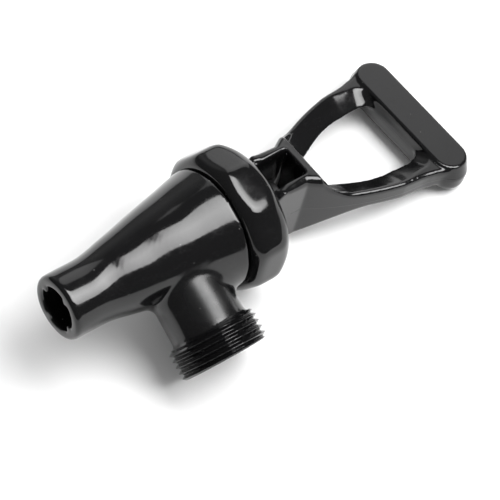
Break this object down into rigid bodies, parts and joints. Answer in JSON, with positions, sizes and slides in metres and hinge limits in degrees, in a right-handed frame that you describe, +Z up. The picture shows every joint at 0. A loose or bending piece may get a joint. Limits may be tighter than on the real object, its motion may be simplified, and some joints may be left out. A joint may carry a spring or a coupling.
{
  "type": "beverage dispenser spigot",
  "caption": "Black plastic dispenser spigot: tapered spout with a threaded side shank, faceted bonnet and a D handle that tilts to lift a seat cup off its valve seat.",
  "frame": {"origin": "centre of the shank's thread, on its axis", "axes": "+Y along the shank's axis, out of the spigot towards the tank; +Z up along the body, from outlet to handle; +X completes the right-handed frame"},
  "size_m": [0.0424, 0.0546, 0.1326],
  "materials": {
    "black_plastic": "glossy moulded black plastic",
    "seat_silicone": "satin translucent white silicone",
    "stem_plastic": "satin acetal",
    "spring_steel": "drawn stainless wire",
    "pin_steel": "ground stainless pin"
  },
  "bodies": {
    "housing": {"body": "black_plastic", "bonnet": "black_plastic", "spring": "spring_steel"},
    "cup_lift": {"seat_cup": "seat_silicone"},
    "stem_turn": {"stem": "stem_plastic", "handle_pin": "pin_steel"},
    "handle_tilt_body": {"handle": "black_plastic"}
  },
  "joints": [
    {"name": "stem_lift", "type": "slide", "parent": "housing", "child": "cup_lift", "axis": [0, 0, 1], "range_m": [0, 0.00475], "deforming": ["spring", "seat_cup"]},
    {"name": "handle_swivel", "type": "hinge", "parent": "cup_lift", "child": "stem_turn", "pos_m": [0, -0.0291, 0.03], "axis": [0, 0, 1], "continuous": true},
    {"name": "handle_tilt", "type": "hinge", "parent": "stem_turn", "child": "handle_tilt_body", "pos_m": [0, -0.0291, 0.03495], "axis": [0.4226, 0.9063, 0], "range_deg": [0, 60], "stiffness_Nm_per_rad": 0.03, "springref_deg": -74.48}
  ],
  "couplings": [
    {"joint": "stem_lift", "follows": "handle_tilt", "m_per_rad": 0.0045}
  ]
}
